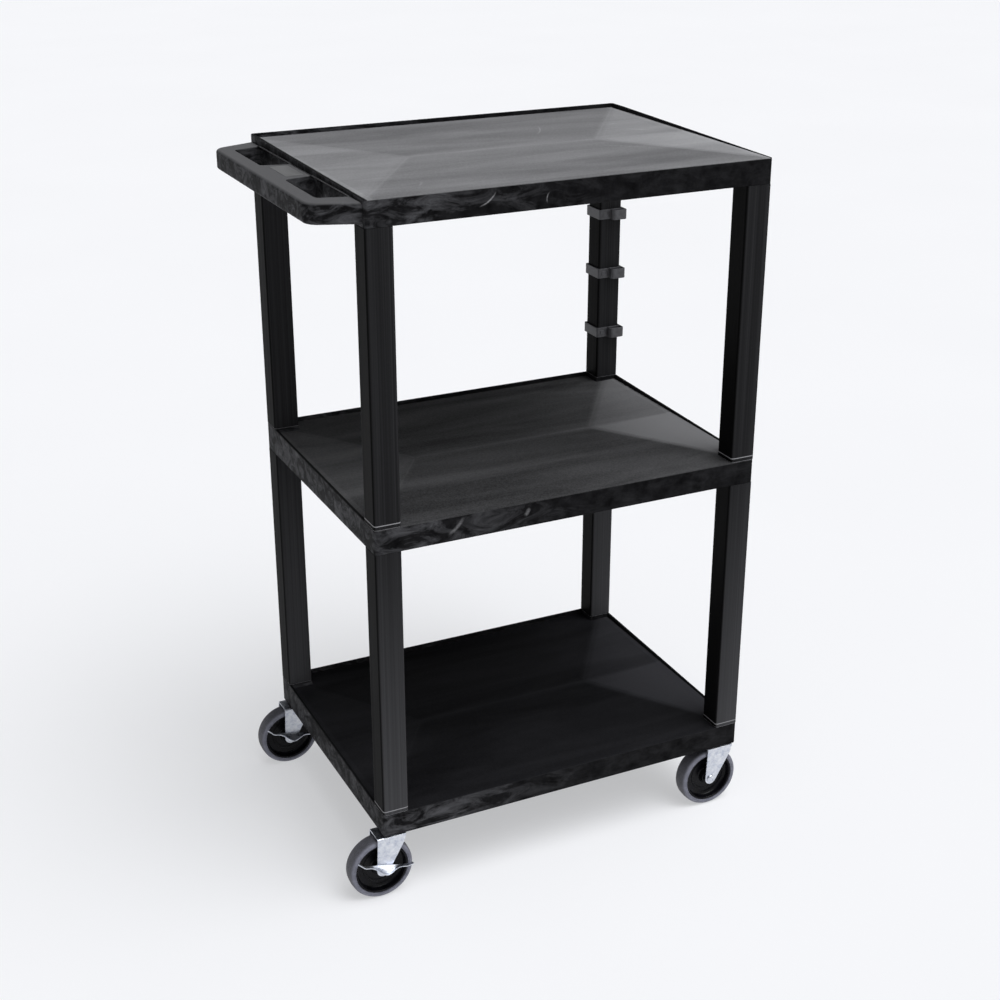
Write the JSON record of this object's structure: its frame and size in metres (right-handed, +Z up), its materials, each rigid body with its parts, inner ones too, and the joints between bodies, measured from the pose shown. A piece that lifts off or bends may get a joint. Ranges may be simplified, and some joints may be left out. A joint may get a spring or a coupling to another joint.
{
  "type": "rolling utility cart",
  "caption": "Black moulded-plastic rolling utility cart: open shelves with a raised lip, square tube legs, push handle, cable clips, swivel casters and side brakes.",
  "frame": {"origin": "on the floor, at the middle of the plan with the push handle, the trailing wheels and the brake pedals included", "axes": "+Z up; +X along the shelves away from the push handle; +Y towards the edge opposite the open, lipless front edge"},
  "size_m": [0.6981, 0.4824, 1.0795],
  "materials": {
    "shelf_plastic": "injection-moulded black polyethylene, fine matte grain with paler flow marks",
    "leg_plastic": "extruded black plastic tube, satin, faint lengthwise draw lines",
    "clip_plastic": "moulded dark grey plastic, satin",
    "socket_plastic": "moulded black nylon, matte",
    "hub_plastic": "moulded black polypropylene, satin",
    "grey_rubber": "non-marking grey thermoplastic rubber, matte",
    "zinc_plate": "bright zinc-plated pressed steel"
  },
  "bodies": {
    "root": {"bottom_shelf": "shelf_plastic", "middle_shelf": "shelf_plastic", "top_shelf": "shelf_plastic", "lower_leg_front_left": "leg_plastic", "lower_leg_front_right": "leg_plastic", "lower_leg_rear_left": "leg_plastic", "lower_leg_rear_right": "leg_plastic", "upper_leg_front_left": "leg_plastic", "upper_leg_front_right": "leg_plastic", "upper_leg_rear_left": "leg_plastic", "upper_leg_rear_right": "leg_plastic", "cable_clip_1": "clip_plastic", "cable_clip_2": "clip_plastic", "cable_clip_3": "clip_plastic", "stem_socket_front_left": "socket_plastic", "stem_front_left": "zinc_plate", "swivel_race_front_left": "zinc_plate", "stem_socket_front_right": "socket_plastic", "stem_front_right": "zinc_plate", "swivel_race_front_right": "zinc_plate", "stem_socket_rear_left": "socket_plastic", "stem_rear_left": "zinc_plate", "swivel_race_rear_left": "zinc_plate", "stem_socket_rear_right": "socket_plastic", "stem_rear_right": "zinc_plate", "swivel_race_rear_right": "zinc_plate"},
    "swivel_front_left": {"fork_front_left": "zinc_plate", "axle_bolt_front_left": "zinc_plate", "axle_nut_front_left": "zinc_plate", "axle_sleeve_front_left": "zinc_plate"},
    "wheel_front_left": {"wheel_hub_front_left": "hub_plastic", "tyre_front_left": "grey_rubber"},
    "brake_front_left": {"brake_lever_front_left": "zinc_plate"},
    "swivel_front_right": {"fork_front_right": "zinc_plate", "axle_bolt_front_right": "zinc_plate", "axle_nut_front_right": "zinc_plate", "axle_sleeve_front_right": "zinc_plate"},
    "wheel_front_right": {"wheel_hub_front_right": "hub_plastic", "tyre_front_right": "grey_rubber"},
    "swivel_rear_left": {"fork_rear_left": "zinc_plate", "axle_bolt_rear_left": "zinc_plate", "axle_nut_rear_left": "zinc_plate", "axle_sleeve_rear_left": "zinc_plate"},
    "wheel_rear_left": {"wheel_hub_rear_left": "hub_plastic", "tyre_rear_left": "grey_rubber"},
    "brake_rear_left": {"brake_lever_rear_left": "zinc_plate"},
    "swivel_rear_right": {"fork_rear_right": "zinc_plate", "axle_bolt_rear_right": "zinc_plate", "axle_nut_rear_right": "zinc_plate", "axle_sleeve_rear_right": "zinc_plate"},
    "wheel_rear_right": {"wheel_hub_rear_right": "hub_plastic", "tyre_rear_right": "grey_rubber"}
  },
  "joints": [
    {"name": "swivel_turn_front_left", "type": "hinge", "parent": "root", "child": "swivel_front_left", "pos_m": [-0.2618, -0.2069, 0.1072], "axis": [0, 0, 1], "continuous": true},
    {"name": "wheel_spin_front_left", "type": "hinge", "parent": "swivel_front_left", "child": "wheel_front_left", "pos_m": [-0.2843, -0.2069, 0.0508], "axis": [0, 1, 0], "continuous": true},
    {"name": "brake_press_front_left", "type": "hinge", "parent": "swivel_front_left", "child": "brake_front_left", "pos_m": [-0.2843, -0.2069, 0.0508], "axis": [0, -1, 0], "range_deg": [0, 24]},
    {"name": "swivel_turn_front_right", "type": "hinge", "parent": "root", "child": "swivel_front_right", "pos_m": [0.3208, -0.2069, 0.1072], "axis": [0, 0, 1], "continuous": true},
    {"name": "wheel_spin_front_right", "type": "hinge", "parent": "swivel_front_right", "child": "wheel_front_right", "pos_m": [0.2983, -0.2069, 0.0508], "axis": [0, 1, 0], "continuous": true},
    {"name": "swivel_turn_rear_left", "type": "hinge", "parent": "root", "child": "swivel_rear_left", "pos_m": [-0.2618, 0.2172, 0.1072], "axis": [0, 0, 1], "continuous": true},
    {"name": "wheel_spin_rear_left", "type": "hinge", "parent": "swivel_rear_left", "child": "wheel_rear_left", "pos_m": [-0.2843, 0.2172, 0.0508], "axis": [0, 1, 0], "continuous": true},
    {"name": "brake_press_rear_left", "type": "hinge", "parent": "swivel_rear_left", "child": "brake_rear_left", "pos_m": [-0.2843, 0.2172, 0.0508], "axis": [0, -1, 0], "range_deg": [0, 24]},
    {"name": "swivel_turn_rear_right", "type": "hinge", "parent": "root", "child": "swivel_rear_right", "pos_m": [0.3208, 0.2172, 0.1072], "axis": [0, 0, 1], "continuous": true},
    {"name": "wheel_spin_rear_right", "type": "hinge", "parent": "swivel_rear_right", "child": "wheel_rear_right", "pos_m": [0.2983, 0.2172, 0.0508], "axis": [0, 1, 0], "continuous": true}
  ]
}
